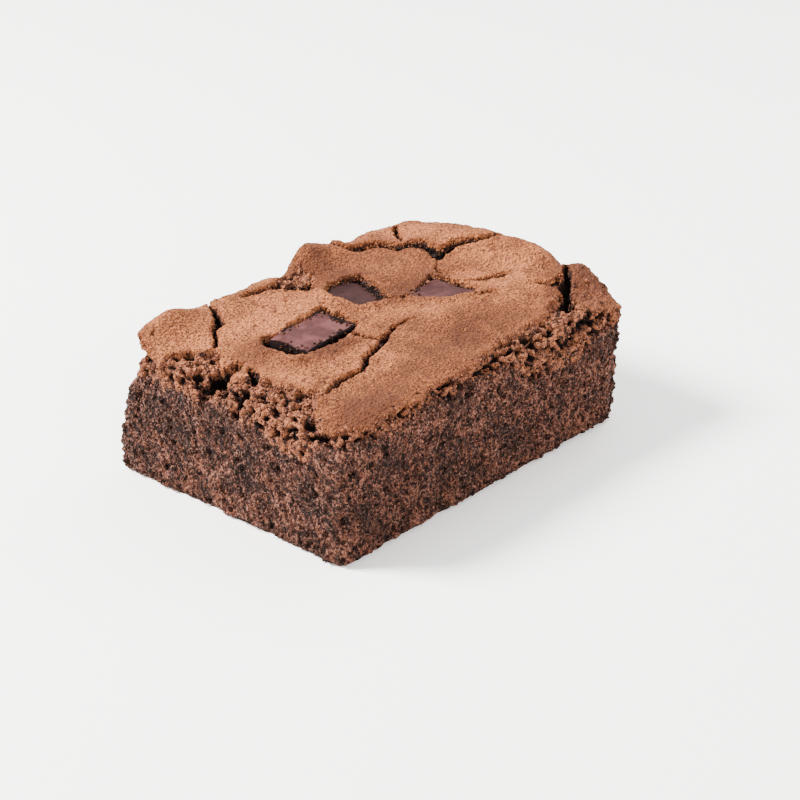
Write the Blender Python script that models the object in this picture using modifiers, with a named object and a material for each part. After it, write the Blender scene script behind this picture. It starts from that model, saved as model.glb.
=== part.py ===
"""A chocolate brownie: a block of crumb under a cracked crust, with three chocolate chunks sunk in its top.

Run it with blender --background --python part.py, or from Blender's text editor.
Lengths are in millimetres up to the last step, which writes metres. X runs along the block's long side and
Y across it, Z is up, and the origin is the middle of the flat underside.
"""

import math

import bmesh
import bpy
from mathutils import Matrix, Vector, noise

MM = 0.001
MIDDLE = (-0.4, 0.4)  # middle of the finished block in plan, which the last step puts over the origin

# The block
LENGTH = 82.0
WIDTH = 56.6
HEIGHT = 26.0  # to the level from which the crust's domes and hollows are counted
EDGE_RADIUS = 4.0  # where the crust rolls over into the sides
CORNER_RADIUS = 1.6  # of the upright corners, which a knife cut
FOOT_RADIUS = 0.5
FAR_LEFT_FLARE = 1.2  # how far the foot stands out at the far left corner
FAR_LEFT_LEAN = 4.6  # how far that corner leans in from foot to crust
NEAR_RIGHT_INSET = 1.3  # how far the right end turns in towards its near corner
RISE_START = 0.3  # share of the height from which the sides stretch to meet the crust's level
RISE_END = 0.95  # share of the height above which all of that stretch is taken up
KNIFE_WAVES = ((0.5, 10.0), (0.3, 3.5))  # unevenness of the cut sides: height and span of each wave
CELL = 1.9  # spacing of the grid that carries the relief

# Domes and hollows of the crust: middle x and y, reach along x and y, and height
DOMES = (
    (-30, 24.3, 6.5, 5.5, 3.0),  # lobe over the far left corner
    (0, 29, 70, 8, 1.3),  # crust that stands higher along the back edge
    (7.6, 27.6, 2.6, 6, 3.4),  # torn peak at the back edge
    (11.8, 27.6, 4.4, 5.5, 2.8),  # its gentler right flank
    (1.8, 28.3, 2.6, 4.5, -1.5),  # hollow beside the peak
    (32, 15.3, 10, 8, 2.4),  # raised back plate
    (39.5, 2.8, 9, 13, 4.2),  # shoulder at the right end
    (41, -8, 6, 6, 2.2),  # its front
    (37, -18.7, 4, 3.6, 3.4),  # corner block at the right end
    (15, -10.5, 17, 6, 1.9),  # swell in front of the right chunk
    (-9, 19.8, 10, 7, 0.7),  # plate behind the left chunk
    (-23, -7.2, 9, 7, 0.6),  # plate in front of the left chunk
    (15, 11.8, 6, 6, 0.8),  # middle plate
    (-37.5, 7.3, 4.5, 4.5, -2.6),  # crust torn away at the left end
    (-38, -25, 6, 6, -1.2),  # near corner, which droops
    (30, -22.2, 4, 2.5, -1.6),  # sunk foot of the corner block
)
SWELL = 0.45  # height of the crust's gentle unevenness
SWELL_SPAN = 11.0

# Cuts through the crust: points of the line, widest gap and depth
CRACKS = {
    "front": (
        ((-37, -18.2), (-34.5, -15.8), (-30, -14), (-26, -14), (-19.8, -12.8), (-16.4, -11), (-12.4, -10.2),
         (-7.4, -8.4), (-3.4, -5.8), (-0.6, -4.6), (2.4, -5.4)),
        1.9, 3.2,
    ),
    "front_spur": (((-6.4, 0.2), (-7.8, -1.6), (-7.6, -3.8), (-6, -6.6)), 1.5, 2.8),
    "left": (
        ((-18.8, 25.2), (-20.8, 21.8), (-25.8, 17.8), (-28.6, 14.2), (-32.4, 11.6), (-36, 9.8)),
        1.7, 3.0,
    ),
    "torn_rim": (((-34.5, 7.6), (-37.5, 6), (-40, 5.4), (-43, 5.6)), 3.4, 3.2),
    "torn_rim_front": (((-36.5, -1.5), (-39, -2.6), (-43, -3)), 2.2, 2.4),
    "back_left": (((-10.6, 25.8), (-7, 24.6), (-3.4, 23), (-1.2, 19.6), (0, 15.6)), 2.6, 3.2),
    "back": (
        ((19.6, 26.4), (22.8, 25), (24.8, 22.4), (25.2, 17.8), (27.2, 16.4), (29.3, 14.4), (28.6, 11.2),
         (29.4, 9.4), (32.5, 8.6), (35, 8.2), (37.3, 6.4), (39.6, 5.4)),
        2.7, 3.6,
    ),
    "back_spur": (((34.4, 25.8), (32.3, 24.2), (29.5, 20.8), (27.4, 17.8)), 1.3, 2.4),
    "middle": (((28.6, 10.2), (26, 8.1), (23.8, 6.4), (21, 5)), 1.8, 3.0),
    "link": (((6.4, 3), (8, 2), (10.4, 1.6)), 1.2, 2.6),
    "corner": (((34.8, -15.6), (33.2, -19), (30.4, -21.2), (26, -22.2)), 3.0, 3.8),
}
CRACK_STEP = 1.3  # length of the short steps that a crack's line is cut into
CRACK_WANDER = 0.45  # how far each step is pushed sideways
CRACK_SEED = 4  # fixes which way each step is pushed
CRACK_TIP = 0.2  # half the gap at a crack's ends

# Chocolate chunks: middle x and y, length, width, turn in degrees, level of the top and lean in degrees
CHUNK_HEIGHT = 6.0
CHUNK_BEVEL = 0.8
CHUNKS = {
    "chocolate_chunk_left": (-13.5, 4.7, 15, 9.2, 6, 26.1, 1.5),
    "chocolate_chunk_middle": (3.5, 10.4, 12.6, 9, 70, 26, 3),
    "chocolate_chunk_right": (15.4, -3.1, 13.2, 9.4, 94, 26.9, -1),
}
# Openings in the crust over the chunks, as points round each opening
WINDOWS = {
    "chocolate_chunk_left": (
        (-22.8, 7.2), (-13.5, 9), (-4.7, 10.4), (-5.4, 0.6), (-10.7, -2.2), (-15.7, -3), (-20.4, -3.4),
        (-23.8, -1.4), (-24, 3),
    ),
    "chocolate_chunk_middle": (
        (0, 15), (6.5, 16.4), (10.8, 15.4), (10.2, 11.4), (8.3, 6.3), (7.4, 2.8), (0.4, 5.2),
    ),
    "chocolate_chunk_right": (
        (9, 0.9), (14.1, 2.4), (19.2, 4), (20.2, 1.5), (20.6, -2.8), (20, -7.9), (16, -9.8), (12.6, -7.6),
        (10.6, -4.4),
    ),
}
CLEARANCE = 0.3  # between a chunk and its pocket
CUTTER_REACH = 4.0  # how far a cutter stands above the crust

CRUMB_COLOUR = (0.105, 0.042, 0.026)
CRUMB_ROUGHNESS = 0.9
CHOCOLATE_COLOUR = (0.052, 0.020, 0.018)
CHOCOLATE_ROUGHNESS = 0.4
SHARPEST_SMOOTH_EDGE = math.radians(40)


def smooth_step(low, high, value):
    share = min(max((value - low) / (high - low), 0.0), 1.0)
    return share * share * (3 - 2 * share)


def crust_level(x, y):
    """Height of the crust over the point x, y."""
    level = HEIGHT + SWELL * noise.noise(Vector((x, y, 3.0)) / SWELL_SPAN)
    for middle_x, middle_y, reach_x, reach_y, rise in DOMES:
        level += rise * math.exp(-(((x - middle_x) / reach_x) ** 2) - ((y - middle_y) / reach_y) ** 2)
    return level


def rolled_edge(point):
    """Inset from the sharp box's sides, and level, of a point that lies near the crust's rolled edge."""
    margin = min(LENGTH / 2 - abs(point.x), WIDTH / 2 - abs(point.y))
    on_top = point.z > HEIGHT - 1e-6
    across = EDGE_RADIUS - margin if on_top else EDGE_RADIUS
    up = EDGE_RADIUS if on_top else point.z - (HEIGHT - EDGE_RADIUS)
    if across <= 0 or up <= 0:
        return margin, point.z
    angle = math.atan2(across, up)
    return EDGE_RADIUS * (1 - math.sin(angle)), HEIGHT - EDGE_RADIUS * (1 - math.cos(angle))


def rounded(point):
    """Moves a point on the sharp box onto the box with a rolled top edge and rounded upright corners."""
    margin = min(LENGTH / 2 - abs(point.x), WIDTH / 2 - abs(point.y))
    if margin > EDGE_RADIUS:
        return point.copy()
    inset, level = rolled_edge(point)
    half_length, half_width = LENGTH / 2 - inset, WIDTH / 2 - inset
    x = point.x * half_length / (LENGTH / 2 - margin)
    y = point.y * half_width / (WIDTH / 2 - margin)
    radius = CORNER_RADIUS + 0.5 * inset
    core_x = max(min(x, half_length - radius), radius - half_length)
    core_y = max(min(y, half_width - radius), radius - half_width)
    reach = math.hypot(x - core_x, y - core_y)
    if reach > 0:
        share = max(abs(x - core_x), abs(y - core_y)) / reach
        x, y = core_x + (x - core_x) * share, core_y + (y - core_y) * share
    return Vector((x, y, level))


def outward(point):
    """The direction in plan in which the nearest side faces, turning round the upright corners."""
    beyond = CORNER_RADIUS + EDGE_RADIUS
    x = max(abs(point.x) - (LENGTH / 2 - beyond), 0) * math.copysign(1, point.x)
    y = max(abs(point.y) - (WIDTH / 2 - beyond), 0) * math.copysign(1, point.y)
    return Vector((x**3, y**3, 0)).normalized()


def side_wander(point):
    """How far a side's face stands out at a point: knife waves, a drawn-in foot and two uneven corners."""
    waves = sum(size * noise.noise(point / span) for size, span in KNIFE_WAVES)
    foot = FOOT_RADIUS * (1 - smooth_step(0, 2 * FOOT_RADIUS, point.z))
    far_left = smooth_step(6, 26, point.y) * smooth_step(-24, -39, point.x)
    lean = far_left * (FAR_LEFT_LEAN * smooth_step(4, 24, point.z) - FAR_LEFT_FLARE)
    inset = NEAR_RIGHT_INSET * smooth_step(34, 40, point.x) * smooth_step(2, -20, point.y)
    return waves - foot - lean - inset


def formed(point):
    """The block's surface at a point of the sharp box."""
    place = rounded(point)
    if place.z < HEIGHT:
        fade = 1 - smooth_step(HEIGHT - EDGE_RADIUS, HEIGHT, place.z)
        place += outward(place) * side_wander(place) * fade
    rise = smooth_step(RISE_START * HEIGHT, RISE_END * HEIGHT, place.z)
    place.z += rise * (crust_level(place.x, place.y) - HEIGHT)
    return place


def cuts(size):
    """Evenly spaced cuts across a side that is centred on zero."""
    count = round(size / CELL)
    return [size * (step / count - 0.5) for step in range(1, count)]


def mesh_object(name, shape, collection):
    mesh = bpy.data.meshes.new(name)
    shape.to_mesh(mesh)
    shape.free()
    made = bpy.data.objects.new(name, mesh)
    collection.objects.link(made)
    return made


def make_block(collection):
    """The crumb block: a box cut into cells, whose points are then moved onto the uneven surface."""
    shape = bmesh.new()
    size = Matrix.Diagonal((LENGTH, WIDTH, HEIGHT, 1))
    bmesh.ops.create_cube(shape, size=1, matrix=Matrix.Translation((0, 0, HEIGHT / 2)) @ size)
    planes = [((x, 0, 0), (1, 0, 0)) for x in cuts(LENGTH)]
    planes += [((0, y, 0), (0, 1, 0)) for y in cuts(WIDTH)]
    planes += [((0, 0, HEIGHT / 2 + z), (0, 0, 1)) for z in cuts(HEIGHT)]
    planes.append(((0, 0, FOOT_RADIUS), (0, 0, 1)))
    for place, normal in planes:
        everything = shape.verts[:] + shape.edges[:] + shape.faces[:]
        bmesh.ops.bisect_plane(shape, geom=everything, plane_co=place, plane_no=normal)
    underside = [face for face in shape.faces if face.normal.z < -0.5]
    bmesh.ops.dissolve_faces(shape, faces=underside)
    for vertex in shape.verts:
        vertex.co = formed(vertex.co)
    return mesh_object("brownie", shape, collection)


def wandering_line(points):
    """The crack's line in short steps, each pushed sideways a little."""
    line = []
    for start, end in zip(points, points[1:]):
        start, end = Vector((*start, 0)), Vector((*end, 0))
        steps = max(round((end - start).length / CRACK_STEP), 1)
        line += [start.lerp(end, step / steps) for step in range(steps)]
    line.append(Vector((*points[-1], 0)))
    noise.seed_set(CRACK_SEED)
    wander = [noise.noise_vector(point * 0.9) * CRACK_WANDER for point in line]
    return [point + Vector((push.x, push.y, 0)) for point, push in zip(line, wander)]


def crack_outline(points, width):
    """The outline of a crack in plan, tapering to a narrow slit at each end."""
    line = wandering_line(points)
    left, right = [], []
    for index, point in enumerate(line):
        along = (line[min(index + 1, len(line) - 1)] - line[max(index - 1, 0)]).normalized()
        across = Vector((-along.y, along.x, 0))
        share = (index + 0.5) / len(line)
        swell = 0.75 + 0.5 * noise.noise(point * 0.35)
        half = max(CRACK_TIP, width / 2 * math.sin(math.pi * share) ** 0.5 * swell)
        left.append(point + across * half)
        right.append(point - across * half)
    return left + right[::-1]


def prism(name, outline, bottom, collection):
    """A cutter with the outline as its plan. bottom gives the level of its underside over a point."""
    curve = bpy.data.curves.new(name, "CURVE")
    curve.dimensions = "2D"
    curve.fill_mode = "BOTH"
    curve.extrude = CUTTER_REACH
    spline = curve.splines.new("POLY")
    spline.points.add(len(outline) - 1)
    for point, place in zip(spline.points, outline):
        point.co = (place.x, place.y, 0, 1)
    spline.use_cyclic_u = True
    guide = bpy.data.objects.new(name, curve)
    collection.objects.link(guide)
    bpy.context.view_layer.update()
    mesh = bpy.data.meshes.new_from_object(guide.evaluated_get(bpy.context.evaluated_depsgraph_get()))
    bpy.data.objects.remove(guide)
    shape = bmesh.new()
    shape.from_mesh(mesh)
    bmesh.ops.remove_doubles(shape, verts=shape.verts[:], dist=0.01)
    for vertex in shape.verts:
        low = vertex.co.z < 0
        level = crust_level(vertex.co.x, vertex.co.y)
        vertex.co.z = bottom(vertex.co.x, vertex.co.y) if low else level + CUTTER_REACH
    bmesh.ops.recalc_face_normals(shape, faces=shape.faces[:])
    return mesh_object(name, shape, collection)


def chunk_box(name, chunk, grow, collection):
    """A chocolate chunk, or with grow the pocket that it sits in."""
    middle_x, middle_y, length, width, turn, top, lean = chunk
    place = Matrix.Translation((middle_x, middle_y, top - CHUNK_HEIGHT / 2))
    place @= Matrix.Rotation(math.radians(turn), 4, "Z") @ Matrix.Rotation(math.radians(lean), 4, "X")
    size = Matrix.Diagonal((length + 2 * grow, width + 2 * grow, CHUNK_HEIGHT + 2 * grow, 1))
    shape = bmesh.new()
    bmesh.ops.create_cube(shape, size=1, matrix=place @ size)
    made = mesh_object(name, shape, collection)
    bevel = made.modifiers.new("rounded_edges", "BEVEL")
    bevel.width = CHUNK_BEVEL
    bevel.segments = 3
    return made


def cut_away(block, cutters):
    for cutter in cutters:
        cutter.hide_render = True
        cutter.display_type = "WIRE"
        boolean = block.modifiers.new(cutter.name, "BOOLEAN")
        boolean.operation = "DIFFERENCE"
        boolean.object = cutter


def make_material(name, colour, roughness):
    material = bpy.data.materials.new(name)
    material.use_nodes = True
    shader = material.node_tree.nodes["Principled BSDF"]
    shader.inputs["Base Color"].default_value = (*colour, 1)
    shader.inputs["Roughness"].default_value = roughness
    shader.inputs["Metallic"].default_value = 0
    return material


def make_collection(name):
    collection = bpy.data.collections.new(name)
    bpy.context.scene.collection.children.link(collection)
    return collection


def main():
    for left_over in list(bpy.data.objects):
        bpy.data.objects.remove(left_over)
    parts = make_collection("chocolate_brownie")
    helpers = make_collection("cutters")

    block = make_block(parts)
    cutters = []
    for name, (points, width, depth) in CRACKS.items():
        outline = crack_outline(points, width)
        cutters.append(prism(f"crack_{name}", outline, lambda x, y: crust_level(x, y) - depth, helpers))
    for name, opening in WINDOWS.items():
        floor = CHUNKS[name][5] - 0.5 * CHUNK_HEIGHT
        outline = [Vector((*corner, 0)) for corner in opening]
        cutters.append(prism(f"window_{name}", outline, lambda x, y: floor, helpers))
        cutters.append(chunk_box(f"pocket_{name}", CHUNKS[name], CLEARANCE, helpers))
    cut_away(block, cutters)

    chunks = [chunk_box(name, chunk, 0, parts) for name, chunk in CHUNKS.items()]
    block.data.materials.append(make_material("crumb", CRUMB_COLOUR, CRUMB_ROUGHNESS))
    chocolate = make_material("chocolate", CHOCOLATE_COLOUR, CHOCOLATE_ROUGHNESS)
    for chunk in chunks:
        chunk.data.materials.append(chocolate)
    to_metres = Matrix.Scale(MM, 4) @ Matrix.Translation((-MIDDLE[0], -MIDDLE[1], 0))
    for made in [*chunks, block, *cutters]:
        made.data.transform(to_metres)
        for modifier in made.modifiers:
            if modifier.type == "BEVEL":
                modifier.width *= MM
    for chunk in chunks:
        chunk.data.shade_smooth()
        chunk.data.set_sharp_from_angle(angle=SHARPEST_SMOOTH_EDGE)


main()
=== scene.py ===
"""Looks of a chocolate brownie: its cracked crust, porous crumb, loose crumbs and chocolate chunks.

Shapes are worked out in millimetres in the slab's own plan, where x runs along the slab and y across it, and
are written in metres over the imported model. The sidebar's Brownie tab lists the sizes, colours and steps.
"""

import math

import bpy
import numpy as np
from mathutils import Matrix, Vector, noise


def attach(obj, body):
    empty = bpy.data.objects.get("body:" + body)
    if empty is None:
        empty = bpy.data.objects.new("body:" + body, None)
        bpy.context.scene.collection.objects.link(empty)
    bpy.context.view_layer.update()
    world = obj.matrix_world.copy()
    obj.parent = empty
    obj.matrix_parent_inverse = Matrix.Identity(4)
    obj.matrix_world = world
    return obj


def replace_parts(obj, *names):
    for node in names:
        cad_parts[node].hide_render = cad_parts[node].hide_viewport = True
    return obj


bl_info = {
    "name": "Chocolate Brownie",
    "version": (1, 0, 0),
    "blender": (4, 5, 0),
    "location": "View3D > Sidebar > Brownie",
    "description": "Builds the crust, crumb and chocolate of a brownie over its packed model",
    "category": "Object",
}

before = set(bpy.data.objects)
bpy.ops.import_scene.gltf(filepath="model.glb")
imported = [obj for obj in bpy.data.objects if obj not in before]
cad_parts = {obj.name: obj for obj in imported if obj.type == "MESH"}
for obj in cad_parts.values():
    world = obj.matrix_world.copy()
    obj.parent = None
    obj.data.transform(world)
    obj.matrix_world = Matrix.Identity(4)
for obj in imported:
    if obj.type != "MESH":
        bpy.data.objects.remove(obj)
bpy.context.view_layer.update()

MM = 0.001
MIDDLE = Vector((-0.4, 0.4, 0))  # middle of the slab's plan

# The block
LENGTH = 82.0
WIDTH = 56.6
HEIGHT = 26.0  # to the level from which the crust's domes and hollows are counted
ON_TOP = HEIGHT - 1e-6  # points of the sharp box above this level lie on its top
EDGE_RADIUS = 4.0  # where the crust rolls over into the sides
CORNER_RADIUS = 1.6  # of the upright corners, which a knife cut
FOOT_RADIUS = 0.65
FAR_LEFT_FLARE = 0.3  # how far the foot stands out at the far left corner
FAR_LEFT_LEAN = 3.2  # how far that corner leans in from foot to crust
NEAR_RIGHT_INSET = 1.3  # how far the right end turns in towards its near corner
RISE_START = 0.3 * HEIGHT  # level from which the sides stretch to meet the crust's level
RISE_END = 0.95 * HEIGHT  # level above which all of that stretch is taken up
ROUND = 2 * (LENGTH + WIDTH)  # once round the sides
STREAK = np.array((0.0, -0.55, -0.835))  # the knife's way down the cut sides

# Domes and hollows of the crust: middle x and y, reach along x and y, and height
DOMES = (
    (-30, 24.3, 6.5, 5.5, 3.0),
    (0, 29, 70, 8, 1.3),
    (7.0, 27.6, 3.1, 6, 3.4),
    (11.8, 27.6, 4.4, 5.5, 2.8),
    (1.8, 28.3, 2.6, 4.5, -0.9),
    (32, 15.3, 10, 8, 2.4),
    (39.5, 2.8, 9, 13, 4.2),
    (41, -8, 6, 6, 2.2),
    (36.8, -18.4, 4.5, 4, 3.4),
    (40.5, -16.5, 3, 3.5, 0.8),
    (41.3, -27.3, 4, 3.8, -2.0),
    (41, -22, 3, 2.2, 1.0),
    (40.8, -13.4, 2.2, 1.7, -1.3),
    (27, 27.5, 4, 4, 0.9),
    (15, -10.5, 17, 6, 1.9),
    (-9, 19.8, 10, 7, 0.7),
    (-23, -7.2, 9, 7, 0.6),
    (15, 11.8, 6, 6, 0.8),
    (-37.5, 7.3, 4.5, 4.5, -2.6),
    (-38, -25, 6, 6, -1.2),
    (30, -22.2, 4, 2.5, -1.6),
)
SWELL = 0.45  # height of the crust's gentle waves
SWELL_SPAN = 11.0

# Cracks: points of the line, widest gap, depth, how far its lips stand up and how far the plate on its left
# is raised
CRACKS = (
    (
        ((-33.3, -15.5), (-30.3, -14.9), (-27.1, -13.8), (-25.3, -13.2), (-21.6, -13.1), (-19.3, -13.4),
         (-18.1, -12.6), (-14.8, -10.7), (-8.2, -8.6), (-6, -7.2), (-2.5, -5.7), (-0.1, -5.3), (3, -6.3)),
        1.2, 2.6, 0.25, 0,
    ),
    (((-9.8, -2.2), (-9, -4.5), (-8.3, -6.3), (-7.2, -8.1)), 1.5, 2.8, 0.15, 0),
    (((-18.8, 26.5), (-20.8, 23.2), (-21.9, 21.3), (-23.4, 19.3), (-26.2, 17.7), (-28.6, 14.4), (-31, 12.4)),
     1.5, 2.6, 0.2, 0),
    (((-34.5, 7.6), (-37.5, 6), (-40, 5.4), (-43, 5.6)), 3.4, 3.2, 0.1, 0),
    (((-36.5, -1.5), (-39, -2.6), (-43, -3)), 2.2, 1.6, 0.1, 0),
    (((-35.5, 6.2), (-33.9, 5.7), (-31.4, 4.4)), 1.6, 2.4, 0.1, 0),
    (((-32.2, 2.3), (-33.2, 0), (-35.6, -2.2)), 1.7, 2.6, 0.1, 0),
    (((-12.1, 24.1), (-9.3, 23.2), (-6.9, 22.9), (-4, 22.2), (-3, 19.9), (-1.5, 17.7), (0.9, 16.8)),
     2.0, 3.2, 0.15, 0),
    (
        ((12.4, 28.8), (15.5, 25.4), (17.5, 23.9), (19.5, 23), (22.3, 22.2), (23.8, 19.6), (24.3, 17.4),
         (26.3, 15.4), (27.5, 13), (27.4, 10.6), (27.2, 9.2), (29.7, 8.7), (32.4, 7.5), (34.1, 5.5),
         (35.9, 3.7), (38.6, 2.4)),
        1.7, 3.2, 0.2, 0.9,
    ),
    (((28.2, 11), (27, 9.4), (26.2, 7.6)), 2.6, 3.4, 0.1, 0),
    (((26.8, 8.6), (24.2, 6.7), (22.6, 5), (22, 2.8)), 0.7, 1.6, 0.15, 0.3),
    (((34.7, 26), (31.4, 24), (28.2, 19.8), (26.4, 17.4)), 0.9, 2.0, 0.2, 0),
    (((6.4, 3), (8, 2), (10.4, 1.6)), 1.2, 2.6, 0.2, 0),
    (((38.2, -15.2), (35.6, -16.6), (34.8, -18.1), (32.2, -18.7), (31.2, -20.4), (25.5, -22.4)),
     1.6, 3.6, 0.3, 0),
    (((28.8, -21.3), (31, -22.7), (30.6, -25.2), (29, -27.8)), 1.6, 2.2, 0.2, 0),
    (((21.6, -2), (23.6, -3.8), (26.3, -6), (30.3, -7.8)), 1.0, 1.6, 0.25, 0.3),
    (((14.9, -9.9), (16.5, -10.1), (18.8, -10.2), (21.4, -10.9)), 0.8, 1.3, 0.2, 0.2),
    (((29.6, -12.6), (31.2, -14.6), (31.4, -16.5), (33.5, -17), (34.5, -17.7)), 1.2, 1.9, 0.25, 0.3),
)
CRACK_STEP = 1.3  # length of the short steps that a crack's line is cut into
CRACK_WANDER = 0.35  # how far each step is pushed sideways
WANDER_SEED = 4  # noise_vector follows the clock until it is given a seed
LUMP_NUMBERS = 53.1  # spreads neighbouring lumps over different cells of the noise, so their numbers differ

# Places where the crust has torn away from the crumb, in plan
TORN = (
    ((-8, 23.2), (-4.2, 24), (1.5, 26.4), (4.1, 24.6), (3.9, 21), (1.8, 18.1), (-1.2, 16.9), (-2.8, 19.3),
     (-4.8, 21.4)),
    ((26, -20.5), (29, -19.5), (30.5, -21.5), (29, -24), (24, -25), (21, -24)),
)
# The corner block's rough crust, in plan
WORN = ((28.5, -21), (35, -17.5), (41, -18), (43, -20), (43, -30), (28.5, -30))

CHUNK_HEIGHT = 6.0
CHUNK_EDGE = 0.5  # radius of a chunk's softened edges
# Chunks: node, middle x and y, length, width, turn in degrees, level of the top, lean in degrees and
# darkness, which is painted shade on tops that catch less light
CHUNKS = (
    ("chocolate_chunk_left", -13.5, 4.7, 15, 9.2, 6, 26.1, 1.5, 0.0),
    ("chocolate_chunk_middle", 3.5, 10.4, 12.6, 9, 70, 26, 3, 0.9),
    ("chocolate_chunk_right", 15.7, -3.4, 13.2, 9.4, 94, 26.5, -1, 0.45),
)
# Openings in the crust over the chunks, each with the level of its floor
WINDOWS = (
    (
        ((-23.7, 8), (-13.5, 9.2), (-4.7, 10.4), (-5.4, 0.6), (-10.7, -2.2), (-15.7, -3.2), (-20.4, -3.6),
         (-24.2, -1.6), (-25, 3.6)),
        23.0,
    ),
    (((0, 15), (6.5, 16.4), (10.8, 15.4), (10.2, 11.4), (8.3, 6.3), (7.4, 2.8), (0.4, 5.2)), 24.4),
    (
        ((10.2, 1), (14.6, 3), (19.9, 4.4), (21.4, 1.7), (21.5, -2.8), (20.8, -8), (17, -9.5), (13.7, -7.4),
         (11.7, -4)),
        24.5,
    ),
)

# The crust's edge and the lower edge of the broken crumb under it, once round the sides: distance from the
# near left corner, then each edge's distance from the block's upper edge, inwards on top and negative down
# the side
RIM = (
    (0, 1.6, -1), (4.2, 3.1, -1.8), (5.2, 1.2, -2.1), (7, -0.3, -2.8), (12, -0.3, -4), (14.8, -0.5, -4.7),
    (20.5, -0.4, -2.6), (24.5, 1.2, -1.2), (30, 1.5, -2.8), (34.2, 0.7, -1.8), (37.8, 1.3, -2.8),
    (44.2, 3.7, -3),
    (48.8, 4.3, -5), (51.5, 3.7, -8), (56.8, 4.6, -8.8), (61.8, 5.5, -9.2), (65, 6.8, -9), (67.5, 7.8, -8),
    (69.8, 8.2, -6.5), (70.8, 1, -5.5), (73, -0.6, -5), (77.5, -1.2, -5.6), (82, -0.8, -5), (90, 0.5, -3.5),
    (100, -1, -3), (112, 1.5, -4.5), (125, 0, -3), (138.6, 1, -3.5), (150, -0.5, -3), (165, 1.2, -4),
    (180, -1, -2.5), (195, 0.8, -4), (210, -0.5, -4), (219, 1.2, -7), (222.9, 1.9, -8.4), (225.2, 0.9, -7.8),
    (226.7, -0.9, -7.2), (228.5, -3.6, -6.6), (229.6, -3.3, -6.3), (231, 0, -6), (232.2, 3.3, -5.6),
    (233.4, 5.6, -5.3), (236.4, 8.5, -4.2), (238.4, 10, -3), (240, 7, -2.6), (241.5, 7, -2.5),
    (242.6, 9.4, -2.4),
    (245, 9, -2.3), (246.2, 4, -2.8), (248.6, 3, -4), (250, 6, -4.6), (251, 6.6, -4.8), (255.5, 7.2, -4.8),
    (258.9, 8.2, -6), (261, 8.9, -7), (262.5, 10.4, -7.3), (264.7, 7.5, -7.3), (266.2, 5.1, -7.1),
    (268.4, 2.7, -7.2), (270.6, 2, -3.5), (272.2, 1.8, -1.6), (274.7, 1.6, -1.5),
)
# Larger holes in the broken crumb: middle and radius
HOLES = (
    (-37.3, -11.3, 25.8, 0.7), (-36.1, -14, 25.8, 1.2), (-36.7, -17.3, 25.8, 1.3), (-38.4, -19, 25.2, 0.9),
    (-40.9, -15, 22.5, 0.9), (-40.8, -19.6, 23.1, 0.7), (-39.5, -23.2, 24, 1), (-41.1, -6.5, 21.8, 0.7),
    (-41.2, -9.8, 21.4, 0.6), (-41.1, -12, 20.1, 0.6), (-39.1, -27.9, 23, 0.7), (-41, -19, 20.2, 0.7),
    (-27.8, -27.3, 24.7, 0.7), (-39.2, 12.7, 24.7, 1), (-38.3, 7.4, 23.2, 1.3), (-40.2, 3.1, 23.7, 0.9),
    (-35.6, 7.7, 23.9, 1.3), (-35.2, 5.5, 24.5, 1),
    (-41.1, -1.8, 22, 0.7), (28.9, -27.5, 24.3, 0.9), (19.1, -26.1, 25.7, 1.2), (14.9, -27.4, 24.7, 1.0),
    (11.2, -26.2, 25.5, 0.9), (8.8, -27.2, 24.7, 1.0), (10.2, -28.1, 22.2, 0.9), (9.2, -28.3, 21.5, 0.9),
    (13, -28.1, 22.6, 0.7), (1, -27.3, 24.6, 0.9), (-0.5, -27.7, 24.1, 0.7), (-3.2, -27.1, 25.1, 0.9),
    (23.3, -28.5, 20.4, 1.0), (24.3, -28.4, 20.8, 0.9), (5.2, -26, 25.5, 0.9), (28.5, -28.2, 21.5, 0.7),
    (35, -28.2, 20.3, 0.7), (15.5, -28.3, 17.4, 0.7), (-12.1, -26.7, 25.1, 0.6), (-22.4, -28.2, 22.6, 0.6),
    (19.4, -26.3, 25.6, 1.3), (17.2, -26.9, 25.2, 1), (0, -26.9, 25.1, 1.2), (1.2, -27.8, 23.7, 1),
    (11.2, -28, 22.5, 1.1), (23.7, -28.3, 22.5, 1.1), (19.8, -28.3, 22, 1.1), (8.1, -27.5, 24.3, 1),
    (29.1, -27.6, 24.1, 1), (32, -28.3, 20.8, 1), (27, -28.4, 19.3, 0.9), (6, -26.3, 25.4, 0.9),
    (14.8, -27.9, 19.3, 0.8), (23.9, -27.1, 25, 0.9), (33.6, -27.3, 24.7, 0.9), (35.2, -28.1, 22.3, 0.8),
    (34, -25.3, 25.7, 0.8), (37.2, -27.4, 16.5, 0.8),
    (-2.6, 20.4, 26, 1.9), (0.4, 19.2, 26.2, 1.5), (-5.2, 22.6, 26, 0.9), (1.2, 22.4, 27.5, 0.8),
)

# Darker and paler places of the crust: middle x and y, reach along x and y, and how much darker; partly its
# own browning, partly painted shade on slopes facing away from the light and beside the chunks' openings, and
# painted light on the lit plates at the back and left
TONES_AND_PAINTED_LIGHT = (
    (8, -22, 36, 8, 0.4), (3, 21, 7, 7, 0.65), (36, -20, 9, 8, 0.55), (39, 0, 7, 12, 0.25),
    (-10, 14, 8, 6, -0.35), (-19, 9, 7, 7, -0.2), (22, 13, 8, 13, 0.25), (-26, -10, 8, 4, -0.1),
    (4, -15, 14, 7, 0.35), (9, 25, 8, 6, 0.2), (0, 8, 9, 6, 0.2), (-27, 5, 6, 5, 0.7), (-17, -4, 9, 3, 0.9),
    (-31, -24, 10, 6, 0.7), (13, 4, 12, 5, 0.65), (23, 17, 7, 8, 0.2), (26, -11, 8, 5, -0.15),
    (-20, -14, 7, 3, -0.2), (-14, -20, 8, 4, 0.2), (1, -8, 5, 4, 0.3), (10, 16, 5, 4, 0.3),
)

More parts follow.
